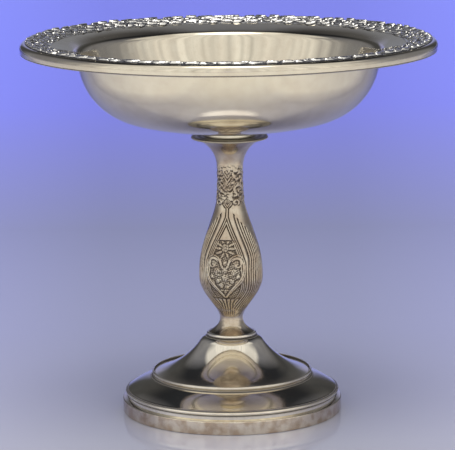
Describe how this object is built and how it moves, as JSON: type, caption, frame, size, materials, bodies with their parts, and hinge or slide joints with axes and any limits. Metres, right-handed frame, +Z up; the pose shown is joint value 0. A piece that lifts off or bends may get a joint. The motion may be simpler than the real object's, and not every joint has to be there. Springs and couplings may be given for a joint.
{
  "type": "footed compote bowl",
  "caption": "Footed compote bowl: shallow dish with a wide ornamented rim, on a slim reeded baluster stem and a stepped round foot, for serving sweets or fruit.",
  "frame": {"origin": "centre of the ring on which the foot stands, on the table plane", "axes": "+Z up along the axis that bowl, stem and foot share; the stem's ornamented faces look along -Y and +Y, and its two side seams lie on X"},
  "size_m": [0.1524, 0.1524, 0.139],
  "materials": {
    "silver_bowl": "polished warm silver, fine wear",
    "silver_ornament": "silver with darkened recesses and bright highlights",
    "silver_plain": "polished warm silver, slightly aged",
    "steel": "plain turned steel",
    "cement": "matt cast filling"
  },
  "bodies": {
    "root": {"bowl": "silver_bowl", "rim_border": "silver_ornament", "bowl_boss": "silver_plain", "seat_disc": "silver_plain", "stem_front": "silver_ornament", "stem_back": "silver_ornament", "stem_packing": "cement", "tie_rod": "steel", "neck_washer": "steel", "rod_nut": "steel", "foot_shell": "silver_plain", "foot_filling": "cement", "base_plate": "silver_plain"}
  },
  "joints": []
}
